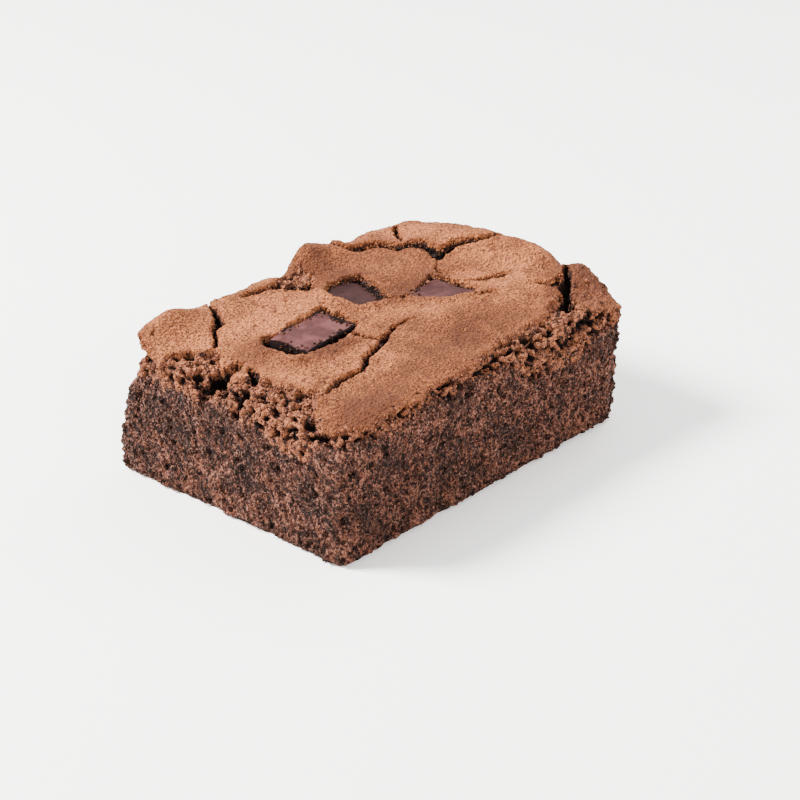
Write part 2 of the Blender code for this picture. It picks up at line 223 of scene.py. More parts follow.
CRUMB_TOP = 20.5  # level at which the crumb piece closes under the crust
OVER_INSETS = (0.6, 1.6, 3.2, 6.0)  # rings that close it there, by their distance from the sides
UNDER_ROWS = 11  # steps in which its underside closes towards the middle
GRAIN_FLOOR = 0.02  # lowest level that a grain's points may have

# The stage, in metres: each light's name, place, size, power and colour
LIGHTS = (
    ("key", (-0.36, 0.42, 0.54), 0.28, 34.5, (1.0, 0.97, 0.93)),
    ("fill", (0.5, 0.1, 0.5), 0.5, 5.2, (1.0, 0.98, 0.96)),
    ("front", (-0.35, -0.6, 0.3), 0.5, 4.9, (1.0, 0.98, 0.96)),
    ("end", (0.33, -0.3, 0.13), 0.25, 2.2, (1.0, 0.97, 0.94)),
)
LIGHTS_AIM = Vector((0, 0, 0.015))
FLOOR_SIZE = 6
FLOOR_COLOUR = (0.95, 0.95, 0.945)
SKY_COLOUR = (1.0, 0.985, 0.97)
SKY_STRENGTH = 1.23

# The camera: degrees, then millimetres, then shares of the picture's width
CAMERA_AZIMUTH = -48.0
CAMERA_ELEVATION = 27.5
CAMERA_DISTANCE = 431.9
CAMERA_AIM = Vector((1.4, 0.4, 0.0))
CAMERA_LENS = 100
CAMERA_SENSOR = 36
CAMERA_SHIFT = (0.02525, 0.04475)


def smooth(low, high, value):
    """0 below low, 1 above high and an S curve between. low may be above high."""
    share = np.clip((value - low) / (high - low), 0, 1)
    return share * share * (3 - 2 * share)


def waves(points, size, shift=0.0):
    """Soft noise from about -0.8 to 0.8 at each point, with swells of about that size.

    Each shift gives another field of the same noise."""
    return np.array([noise.noise(place) for place in (points / size + shift).tolist()])


def drift(points, size, shift=0.0):
    """The same in three directions at once, for pushing points about."""
    noise.seed_set(WANDER_SEED)
    return np.array([noise.noise_vector(place) for place in (points / size + shift).tolist()])


def pebbles(points, size, shift=0.0):
    """Rounded lumps: how near its lump's middle each point is, from 0 to 1, and the lump's own number."""
    nearness, number = np.empty(len(points)), np.empty(len(points))
    for index, place in enumerate((points / size + shift).tolist()):
        distances, middles = noise.voronoi(place)
        nearness[index] = 1 - distances[0]
        number[index] = noise.cell(middles[0] * LUMP_NUMBERS)
    return np.clip(nearness, 0, 1), number


def crust_level(x, y):
    """Height of the crust over each point of the plan."""
    points = np.stack([x, y, np.full_like(x, 3.0)], axis=1)
    level = HEIGHT + SWELL * waves(points, SWELL_SPAN)
    for middle_x, middle_y, reach_x, reach_y, rise in DOMES:
        level += rise * np.exp(-(((x - middle_x) / reach_x) ** 2) - ((y - middle_y) / reach_y) ** 2)
    return level


def rounded(points):
    """Moves points of the sharp box onto the box with a rolled top edge and rounded upright corners."""
    x, y, z = points.T
    margin = np.minimum(LENGTH / 2 - abs(x), WIDTH / 2 - abs(y))
    on_top = z > ON_TOP
    across = np.where(on_top, EDGE_RADIUS - margin, EDGE_RADIUS)
    up = np.where(on_top, EDGE_RADIUS, z - (HEIGHT - EDGE_RADIUS))
    angle = np.arctan2(np.maximum(across, 0), np.maximum(up, 0))
    rolls = (across > 0) & (up > 0)
    inset = np.where(rolls, EDGE_RADIUS * (1 - np.sin(angle)), margin)
    level = np.where(rolls, HEIGHT - EDGE_RADIUS * (1 - np.cos(angle)), z)
    half_x, half_y = LENGTH / 2 - inset, WIDTH / 2 - inset
    near = margin <= EDGE_RADIUS
    new_x = np.where(near, x * half_x / np.maximum(LENGTH / 2 - margin, 1), x)
    new_y = np.where(near, y * half_y / np.maximum(WIDTH / 2 - margin, 1), y)
    radius = np.where(near, CORNER_RADIUS + 0.5 * inset, 0)
    core_x = np.clip(new_x, radius - half_x, half_x - radius)
    core_y = np.clip(new_y, radius - half_y, half_y - radius)
    off_x, off_y = new_x - core_x, new_y - core_y
    reach = np.maximum(np.hypot(off_x, off_y), 1e-9)
    share = np.where(near, np.maximum(abs(off_x), abs(off_y)) / reach, 1)
    return np.stack([core_x + off_x * share, core_y + off_y * share, level], axis=1)


def outward(points):
    """The direction in plan in which the nearest side faces, turning round the upright corners."""
    beyond = CORNER_RADIUS + EDGE_RADIUS
    x = np.maximum(abs(points[:, 0]) - (LENGTH / 2 - beyond), 0) * np.sign(points[:, 0])
    y = np.maximum(abs(points[:, 1]) - (WIDTH / 2 - beyond), 0) * np.sign(points[:, 1])
    push = np.stack([x**3, y**3, np.zeros_like(x)], axis=1)
    return push / np.maximum(abs(push).max(axis=1), 1e-9)[:, None]


def side_wander(points):
    """How far a side's face stands out at each point."""
    x, y, z = points.T
    knife = 0.5 * waves(points, 10.0) + 0.3 * waves(points, 3.5, np.array((7.0, 0, 0)))
    foot = FOOT_RADIUS * (1 - smooth(0, 2 * FOOT_RADIUS, z))
    inset = NEAR_RIGHT_INSET * smooth(34, 40, x) * smooth(2, -20, y)
    return knife - foot - inset


def formed(points):
    """The slab's smooth surface at points of the sharp box."""
    place = rounded(points)
    fade = np.where(place[:, 2] < HEIGHT - 0.2, 1 - smooth(HEIGHT - EDGE_RADIUS, HEIGHT, place[:, 2]), 0)
    place += outward(place) * (side_wander(place) * fade)[:, None]
    x, y, z = place.T
    lean = (FAR_LEFT_LEAN * smooth(8, 24, z) - FAR_LEFT_FLARE) * fade
    place[:, 0] += lean * smooth(6, 26, y) * smooth(-28, -LENGTH / 2, x)
    place[:, 1] -= lean * smooth(-24, -39, x) * smooth(14, WIDTH / 2, y)
    rise = smooth(RISE_START, RISE_END, place[:, 2])
    place[:, 2] += rise * (crust_level(place[:, 0], place[:, 1]) - HEIGHT)
    return place


def lowered(points):
    """Points of the slab's surface, moved straight down to where the crust's level raised them from."""
    raised = crust_level(points[:, 0], points[:, 1]) - HEIGHT
    level = points[:, 2]
    for _ in range(4):
        level = points[:, 2] - raised * smooth(RISE_START, RISE_END, level)
    return np.column_stack([points[:, :2], level])


def round_distance(points):
    """How far round the sides each point is, from the near left corner along the near long side."""
    x, y = np.clip(points[:, 0], -LENGTH / 2, LENGTH / 2), np.clip(points[:, 1], -WIDTH / 2, WIDTH / 2)
    gaps = np.stack([y + WIDTH / 2, LENGTH / 2 - x, WIDTH / 2 - y, x + LENGTH / 2])
    along = np.stack([
        x + LENGTH / 2,
        LENGTH + y + WIDTH / 2,
        LENGTH + WIDTH + LENGTH / 2 - x,
        2 * LENGTH + WIDTH + WIDTH / 2 - y,
    ])
    return np.take_along_axis(along, gaps.argmin(axis=0)[None], axis=0)[0]


def rim_shares(box, place):
    """Shares of whole crust and broken crumb at points of the sharp box and the slab, and the crust's lip."""
    x, y, z = box.T
    margin = np.minimum(LENGTH / 2 - abs(x), WIDTH / 2 - abs(y))
    inward = np.where(z > ON_TOP, margin, z - HEIGHT)
    at, edge, band = zip(*RIM)
    along = round_distance(box)
    ragged = 0.7 * waves(place, 2.8, 31.0) + 0.9 * waves(place, 1.1, 12.0)
    past_edge = inward - np.interp(along, at, edge, period=ROUND) + ragged
    past_band = inward - np.interp(along, at, band, period=ROUND) + 1.6 * ragged
    skin = smooth(-0.25, 0.25, past_edge)
    torn_plan = (place + 1.2 * drift(place, 1.4, 5.0))[:, :2]
    for outline in TORN:
        skin *= 1 - smooth(-0.2, 0.3, inside_depth(torn_plan, outline))
    lip = np.exp(-(((past_edge - 0.7) / 0.6) ** 2)) * smooth(0, 0.3, past_edge)
    return skin, (1 - skin) * smooth(-0.8, 0.8, past_band), lip


def wandering_line(points):
    """A crack's line in short steps, each pushed sideways a little."""
    line = []
    for start, end in zip(points, points[1:]):
        start, end = Vector((*start, 0)), Vector((*end, 0))
        steps = max(round((end - start).length / CRACK_STEP), 1)
        line += [start.lerp(end, step / steps) for step in range(steps)]
    line.append(Vector((*points[-1], 0)))
    noise.seed_set(WANDER_SEED)
    wander = [noise.noise_vector(point * 0.9) * CRACK_WANDER for point in line]
    return np.array([(point + push)[:2] for point, push in zip(line, wander)])


def line_distance(plan, line):
    """Each plan point's distance from the line, share of the way along it and whether it is on the left."""
    best, share, left = np.full(len(plan), 1e9), np.zeros(len(plan)), np.zeros(len(plan), bool)
    for index in range(len(line) - 1):
        start, step = line[index], line[index + 1] - line[index]
        along = np.clip((plan - start) @ step / (step @ step), 0, 1)
        gap = np.linalg.norm(plan - start - along[:, None] * step, axis=1)
        across = step[0] * (plan[:, 1] - start[1]) - step[1] * (plan[:, 0] - start[0])
        share = np.where(gap < best, (index + along) / (len(line) - 1), share)
        left = np.where(gap < best, across > 0, left)
        best = np.minimum(gap, best)
    return best, share, left


def inside_depth(plan, outline):
    """How far inside the outline each plan point lies, negative outside."""
    corners = np.array(outline, float)
    best, crossings = np.full(len(plan), 1e9), np.zeros(len(plan), int)
    for start, end in zip(corners, np.roll(corners, -1, axis=0)):
        step = end - start
        along = np.clip((plan - start) @ step / (step @ step), 0, 1)
        best = np.minimum(best, np.linalg.norm(plan - start - along[:, None] * step, axis=1))
        spans = (start[1] > plan[:, 1]) != (end[1] > plan[:, 1])
        cut = start[0] + (plan[:, 1] - start[1]) / (step[1] if step[1] else 1e-9) * step[0]
        crossings += spans & (plan[:, 0] < cut)
    return np.where(crossings % 2 == 1, best, -best)


def carved(points):
    """How deep cracks and openings go at points of the crust's smooth top, and how far lips stand up."""
    ragged = points + 0.45 * drift(points, 1.7, 5.0) + 0.18 * drift(points, 0.8, 9.0)
    plan = ragged[:, :2]
    depth, lips = np.zeros(len(points)), np.zeros(len(points))
    for line, width, deep, lip, lift in CRACKS:
        gap, share, left = line_distance(plan, wandering_line(line))
        swell = 0.85 + 0.7 * waves(points, 3.2, 40.0)
        half = np.maximum(width / 2 * np.sin(np.pi * np.clip(share, 0.02, 0.98)) ** 0.5 * swell, 0.12)
        cut = deep * smooth(half + 0.3, half - 0.3, gap) * smooth(0, 0.9, half + 0.35)
        depth = np.maximum(depth, cut)
        rim = np.exp(-(((gap - half - 0.55) / 0.7) ** 2)) * (0.5 + 1.2 * waves(points, 4.5, 60.0))
        raised = lift * np.exp(-((gap / 3.5) ** 2)) * left * smooth(0, 0.12, share) * smooth(1, 0.88, share)
        lips = np.maximum(lips, lip * rim + raised)
    level = crust_level(points[:, 0], points[:, 1])
    for outline, floor in WINDOWS:
        pushed = plan + 0.9 * drift(points, 3.0, 27.0)[:, :2] + 0.6 * drift(points, 1.1, 28.0)[:, :2]
        inside = inside_depth(pushed, outline)
        depth = np.maximum(depth, (level - floor) * smooth(-0.3, 0.4, inside))
        front = smooth(-1, 4, (points[:, :2] - np.mean(outline, axis=0)) @ (-0.743, -0.669))
        lips = np.maximum(lips, (0.5 + 0.35 * front) * np.exp(-(((inside + 0.8) / 1.5) ** 2)))
    return depth, lips


def crumb_tone(places):
    """How dark crumb is, from 0 to 1: moist high on the left end and drier at its foot, and paler on the near
    side, most at its far right end, as painted light.
    """
    x, y, z = places.T
    tone = 0.4 + 0.4 * waves(places, 7.0, 61.0) + 0.35 * waves(places, 2.6, 62.0)
    left_end = smooth(-36, -40, x)
    tone += 0.22 * left_end * smooth(-12, 8, y) * smooth(8, 15, z) - 0.25 * left_end * smooth(9, 3, z)
    # Painted light: the near side made paler, most towards its far right end
    tone -= (0.15 + 0.5 * smooth(2, 32, x)) * smooth(-26, -28, y)
    return np.clip(tone, 0, 1)


def pale_crumb(places, broken):
    """How far broken crumb has dried to the crust's colour at each place."""
    return broken * np.clip(0.62 + 0.5 * waves(places, 1.3, 66.0), 0.1, 1)


def hole_depth(points):
    """How deep the larger holes go at each point, in millimetres."""
    moved = points + 0.45 * drift(points, 0.9, 33.0)
    depth = np.zeros(len(points))
    for *middle, radius in HOLES:
        gap = np.linalg.norm(moved - middle, axis=1)
        depth = np.maximum(depth, 1.9 * radius * smooth(radius + 0.25, radius * 0.35, gap))
    return depth


def crumb_relief(points, coarse):
    """How far crumb stands out at points of a cut side, and how deep in a pore each point is, from 0 to 1.

    coarse is 0 in dense crumb and 1 in the open, broken crumb under the crust."""
    along = points @ STREAK
    streaks = points - 0.75 * along[:, None] * STREAK
    relief = 0.3 * waves(points, 3.4, 3.0) + 0.5 * waves(streaks, 1.2, 20.0) * (1 - coarse)
    near, number = pebbles(points, 1.15, 2.0)
    relief += 0.75 * (near - 0.5) * (0.4 + number)
    near, number = pebbles(points + 0.3 * drift(points, 0.9, 6.0), 1.7, 8.0)
    picked = number > 0.66 - 0.1 * coarse
    pore = np.where(picked, smooth(0.45, 0.7, near), 0)
    relief -= pore * (0.75 + 0.25 * coarse)
    near, number = pebbles(points + 0.5 * drift(points, 1.5, 16.0), 2.2, 18.0)
    relief += coarse * 1.1 * (near - 0.55) * (0.4 + number)
    hole = coarse * np.where(number < 0.25, smooth(0.35, 0.7, near), 0)
    relief -= 1.6 * hole
    return relief, np.clip(np.maximum(pore * (0.55 + 0.45 * coarse), hole), 0, 1)


def active_points(piece):
    """The piece's points, a row for each."""
    points = np.empty(len(piece.data.vertices) * 3)
    piece.data.vertices.foreach_get("co", points)
    return points.reshape(-1, 3)


def move_points(piece, points):
    piece.data.vertices.foreach_set("co", np.ascontiguousarray(points, dtype=float).ravel())
    piece.data.update()


def normals_of(piece):
    normals = np.empty(len(piece.data.vertices) * 3)
    piece.data.vertex_normals.foreach_get("vector", normals)
    return normals.reshape(-1, 3)


def select_points(piece, chosen):
    """Selects these points of the piece for the next edit-mode operator."""
    for kind in (piece.data.edges, piece.data.polygons):
        kind.foreach_set("select", np.zeros(len(kind), bool))
    piece.data.vertices.foreach_set("select", np.asarray(chosen, bool))


def in_edit_mode(steps, everything=False):
    """Runs edit-mode operators on the active piece, on all of it or on what is selected."""
    bpy.ops.object.mode_set(mode="EDIT")
    bpy.ops.mesh.select_mode(type="VERT")
    if everything:
        bpy.ops.mesh.select_all(action="SELECT")
    for operator, settings in steps:
        operator(**settings)
    bpy.ops.object.mode_set(mode="OBJECT")


def new_primitive(operator, name, **settings):
    """Adds a primitive with nothing else selected, and names it."""
    bpy.ops.object.select_all(action="DESELECT")
    operator(**settings)
    piece = bpy.context.object
    piece.name = piece.data.name = name
    return piece


def new_grid(name, along, across):
    return new_primitive(
        bpy.ops.mesh.primitive_grid_add, name, x_subdivisions=along, y_subdivisions=across, size=1
    )


def close_over():
    """Closes the active piece with one face over its selected open edge."""
    in_edit_mode([(bpy.ops.mesh.edge_face_add, {})])


def turn_out():
    """Turns all faces of the active piece outwards."""
    in_edit_mode([(bpy.ops.mesh.normals_make_consistent, {"inside": False})], everything=True)


def merge_points(threshold):
    """Joins points of the active piece that lie closer than the threshold."""
    in_edit_mode([(bpy.ops.mesh.remove_doubles, {"threshold": threshold})], everything=True)


def turning(angle, first, second):
    """The matrix that turns the first axis towards the second by an angle in degrees."""
    matrix = np.eye(3)
    cosine, sine = math.cos(math.radians(angle)), math.sin(math.radians(angle))
    matrix[first, first] = matrix[second, second] = cosine
    matrix[first, second], matrix[second, first] = -sine, sine
    return matrix


def tint(piece, crust, depth, coarse, shade):
    """Writes what the material reads: crust share, depth in a hole, coarseness and a tone of its own; the
    depth darkens as painted shade, and the tone partly carries painted light and shade.
    """
    layer = piece.data.color_attributes.new("bake", "FLOAT_COLOR", "POINT")
    values = np.empty((len(piece.data.vertices), 4))
    for column, value in enumerate((crust, depth, coarse, shade)):
        values[:, column] = value
    layer.data.foreach_set("color", values.ravel())


def finished(piece, material, stands_for=(), smoothly=True):
    """Brings a piece from millimetres to its place over the model, and gives it its material and body."""
    move_points(piece, (active_points(piece) - np.array(MIDDLE)) * MM)
    piece.data.materials.clear()
    piece.data.materials.append(material)
    if smoothly:
        piece.data.shade_smooth()
    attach(piece, "root")
    if stands_for:
        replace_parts(piece, *stands_for)
    return piece


class Wire:
    """A shader value that takes part in arithmetic: each operation adds its node."""

    def __init__(self, tree, socket=None):
        self.tree = tree
        self.socket = socket

    def make(self, kind, settings=None, inputs=None, output=0):
        """Adds a node, sets it, fills its sockets with values or wires, and gives one of its outputs."""
        node = self.tree.nodes.new(kind)
        for name, value in (settings or {}).items():
            setattr(node, name, value)
        for name, value in (inputs or {}).items():
            if isinstance(value, Wire):
                self.tree.links.new(value.socket, node.inputs[name])
            else:
                node.inputs[name].default_value = value
        return Wire(self.tree, node.outputs[output])

    def maths(self, operation, *values):
        return self.make("ShaderNodeMath", {"operation": operation}, dict(enumerate(values)))

    def __add__(self, other):
        return self.maths("ADD", self, other)

    def __sub__(self, other):
        return self.maths("SUBTRACT", self, other)

    def __rsub__(self, other):
        return self.maths("SUBTRACT", other, self)

    def __mul__(self, other):
        return self.maths("MULTIPLY", self, other)

    __radd__ = __add__
    __rmul__ = __mul__

    def rise(self, low, high):
        """0 below low, 1 above high and an S curve between."""
        sockets = {"Value": self, "From Min": low, "From Max": high}
        return self.make("ShaderNodeMapRange", {"interpolation_type": "SMOOTHSTEP"}, sockets)

    def grain(self, size, detail=2.0, roughness=0.5, output=0):
        """Noise from 0 to 1 with swells of about that size in millimetres."""
        sockets = {"Vector": self, "Scale": 1 / (size * MM), "Detail": detail, "Roughness": roughness}
        return self.make("ShaderNodeTexNoise", {}, sockets, output)

    def blend(self, first, second, mode="MIX"):
        """From the first colour to the second as this value goes from 0 to 1."""
        settings = {"data_type": "RGBA", "blend_type": mode, "clamp_factor": True}
        return self.make("ShaderNodeMix", settings, {0: self, 6: first, 7: second}, 2)


def new_material(name, roughness):
    """An empty material, its shader node and a wire that starts at object coordinates."""
    material = bpy.data.materials.new(name)
    material.use_nodes = True
    tree = material.node_tree
    shader = tree.nodes["Principled BSDF"]
    shader.inputs["Roughness"].default_value = roughness
    place = Wire(tree).make("ShaderNodeTexCoord", output="Object")
    return material, shader, place


def plug(shader, **wires):
    """Links each wire to the shader's socket of that name."""
    for name, wire in wires.items():
        shader.id_data.links.new(wire.socket, shader.inputs[name.replace("_", " ")])


def colour(values):
    """A colour with its alpha."""
    return (*values, 1.0)


def layered(ground, *layers):
    """The ground with each layer's colour over the last one, as far as the layer's share says."""
    for share, tone in layers:
        ground = share.blend(ground, colour(tone))
    return ground


def baked_material(look, name):
    """Matte pale crust with dark flecks, over dark moist crumb with reddish grains; pores, holes, cracks and
    openings darkened towards black as painted shade.
    """
    material, shader, place = new_material(name, 0.8)
    bake = place.make("ShaderNodeAttribute", {"attribute_name": "bake"}, output="Color")
    parts = place.make("ShaderNodeSeparateColor", {}, {"Color": bake})
    crust_share, depth, coarse = (Wire(place.tree, output) for output in parts.socket.node.outputs)
    tone_and_painted_light = Wire(place.tree, bake.socket.node.outputs["Alpha"])

    fine = place.grain(0.48, 1, 0.6)
    speckle = place.grain(0.6, 2, 0.6)
    crust = place.grain(9, 3).rise(0.35, 0.65).blend(colour(look.crust_colour), colour(look.crust_light))
    crust = layered(
        crust,
        # Low tone pales the crust and high tone darkens it: painted light and shade, and the crust's own tone
        (tone_and_painted_light.rise(0.3, 0.0) * 0.75, look.crust_light),
        (tone_and_painted_light.rise(0.3, 0.75) * 0.85, look.crust_colour),
        (place.grain(2.4, 3).rise(0.45, 0.7) * 0.45, look.crust_dark),
        (tone_and_painted_light.rise(0.6, 1.1) * 0.7, look.crust_dark),
        (speckle.rise(0.5, 0.61) * 0.9, look.crust_dark),
        (fine.rise(0.5, 0.62) * (0.8 - 0.75 * tone_and_painted_light), look.crust_pale),
        (coarse * 0.3, look.crumb_pale),
    )

    along = place.make("ShaderNodeVectorMath", {"operation": "DOT_PRODUCT"}, {0: place, 1: STREAK}, "Value")
    slid = place.make("ShaderNodeVectorMath", {"operation": "SCALE"}, {0: 0.7 * STREAK, "Scale": along})
    streaks = place.make("ShaderNodeVectorMath", {"operation": "SUBTRACT"}, {0: place, 1: slid})
    cells = place.make("ShaderNodeTexVoronoi", {}, {"Vector": place, "Scale": 1 / (0.9 * MM)})
    dryness = (place.grain(4.5, 3) - 0.15 * tone_and_painted_light).rise(0.36, 0.56)
    reddish = streaks.grain(2.2, 3, 0.6).rise(0.42, 0.6) * (1 - 0.5 * tone_and_painted_light)
    crumb = reddish.blend(colour(look.crumb_colour), colour(look.crumb_red))
    crumb = layered(
        crumb,
        # Low tone turns the crumb redder; on the near side this carries painted light
        (tone_and_painted_light.rise(0.45, 0) * 0.5, look.crumb_red),
        ((1 - dryness) * 0.5, look.moist_crumb_and_pore_shade),
        (streaks.grain(0.75, 3, 0.65).rise(0.52, 0.6) * (0.25 + 0.45 * dryness), look.crumb_pale),
        # Pits and the edges between cells darkened near black: painted shade in the pores and between the
        # grains
        (streaks.grain(0.95, 2).rise(0.5, 0.4) * 0.85, look.moist_crumb_and_pore_shade),
        (cells.rise(0.45, 0.7) * 0.7, look.moist_crumb_and_pore_shade),
        (tone_and_painted_light * 0.75, look.moist_crumb_and_pore_shade),
        (fine.rise(0.54, 0.61) * (0.3 + 0.4 * dryness), look.crumb_pale),
        (speckle.rise(0.5, 0.42) * 0.65, look.moist_crumb_and_pore_shade),
    )

    edge = place.grain(0.6, 2) * 0.5
    surface = (crust_share + edge).rise(0.55, 0.95).blend(crumb, crust)
    # Darker with depth in holes, cracks and openings: painted shade
    surface = (depth + edge - 0.25).rise(0.15, 0.75).blend(surface, colour(look.moist_crumb_and_pore_shade))
    sparkle = (1 - crust_share) * fine.rise(0.52, 0.6)
    bumps = fine + 0.7 * speckle - (1.1 - 0.9 * crust_share) * cells
    relief = place.make("ShaderNodeBump", {}, {"Strength": 1.0, "Distance": 0.9 * MM, "Height": bumps})
    plug(shader, Base_Color=surface, Roughness=0.88 - 0.45 * sparkle, Normal=relief)
    shader.inputs["Specular IOR Level"].default_value = 0.1
    return material


def chocolate_material(look):
    """Dark chocolate with a faint bloom and a satin surface; its sides painted near black as shade in the gap
    round it, partly clinging crumb, and dim tops darkened as painted shade.
    """
    material, shader, place = new_material("dark_chocolate", 0.42)
    bake = place.make("ShaderNodeAttribute", {"attribute_name": "bake"}, output="Color")
    parts = place.make("ShaderNodeSeparateColor", {}, {"Color": bake})
    clinging_crumb_and_shade = (Wire(place.tree, parts.socket.node.outputs[1]) + place.grain(1.1, 3) * 0.9).rise(0.8, 1.0)
    tone_and_painted_light = Wire(place.tree, bake.socket.node.outputs["Alpha"])
    bloom = place.grain(4, 4, 0.6).rise(0.35, 0.65)
    shade = bloom.blend(colour(look.chocolate_colour), colour(look.chocolate_bloom))
    specks = place.grain(0.4, 3, 0.7)
    shade = layered(
        shade,
        (specks.rise(0.56, 0.66) * 0.4, look.crust_dark),
        # Painted shade: tops darkened by the chunk's darkness, and sides near black in the gap round the
        # chunk, partly clinging crumb
        (tone_and_painted_light * 0.85, look.chunk_shade_and_crumb),
        (clinging_crumb_and_shade, look.chunk_shade_and_crumb),
    )
    bumps = place.grain(1.6, 3, 0.5) + 0.5 * specks + 1.5 * clinging_crumb_and_shade * place.grain(0.5, 2)
    relief = place.make("ShaderNodeBump", {}, {"Strength": 0.5, "Distance": 0.25 * MM, "Height": bumps})
    sheen = 0.13 * (1 - clinging_crumb_and_shade) * (1 - tone_and_painted_light)
    plug(shader, Base_Color=shade, Roughness=0.45 + 0.5 * clinging_crumb_and_shade, Normal=relief, Coat_Weight=sheen)
    shader.inputs["Coat Roughness"].default_value = 0.38
    shader.inputs["Specular IOR Level"].default_value = 0.04
    return material


def size_property(name, description, usual, least):
    return bpy.props.FloatProperty(name=name, description=description, default=usual, min=least)


class BrownieSizes(bpy.types.PropertyGroup):
    """Sizes of the brownie's fine shapes."""

    crust_cell: size_property("Crust Grid", "Spacing of the crust's points in millimetres", 0.3, 0.2)
    crumb_cell: size_property("Crumb Grid", "Spacing of the cut sides' points in millimetres", 0.3, 0.2)
    skirt: size_property("Crust Skirt", "How far the crust reaches down the sides in millimetres", 11.0, 4.0)
    grains: bpy.props.IntProperty(
        name="Grains", description="Grains in each scattered piece", default=7700, min=100, max=7700
    )


def colour_property(name, description, values):
    return bpy.props.FloatVectorProperty(
        name=name, description=description, subtype="COLOR", size=3, default=values
    )


class BrownieLook(bpy.types.PropertyGroup):
    """Colours of the brownie."""

    crust_colour: colour_property("Crust", "The crust's main colour", (0.11, 0.0333, 0.0123))
    # Also painted light where the crust's tone is low
    crust_light: colour_property("Crust Light", "Dry, pale crust", (0.293, 0.095, 0.0347))
    # Also painted shade where the crust's tone is high
    crust_dark: colour_property("Crust Dark", "Flecks in the crust", (0.053, 0.0167, 0.0087))
    crust_pale: colour_property("Crust Pale", "Dry specks in the crust", (0.36, 0.127, 0.048))
    crumb_pale: colour_property("Crumb Pale", "Dry specks in the crumb", (0.24, 0.097, 0.065))
    crumb_colour: colour_property("Crumb", "Dense crumb", (0.0453, 0.0183, 0.013))
    crumb_red: colour_property("Crumb Red", "Reddish grains", (0.153, 0.053, 0.03))
    # Also painted shade in pores, holes, cracks and openings
    moist_crumb_and_pore_shade: colour_property("Crumb Dark", "Pores and moist crumb", (0.006, 0.0027, 0.0023))
    # Painted shade on the chunks' sides and dim tops, partly clinging crumb
    chunk_shade_and_crumb: colour_property("Crevice", "Moist crumb at the chunks' sides", (0.0053, 0.0027, 0.0027))
    chocolate_colour: colour_property("Chocolate", "The chunks' main colour", (0.0347, 0.0103, 0.0107))
    chocolate_bloom: colour_property("Bloom", "Paler bloom on the chunks", (0.077, 0.0253, 0.0253))


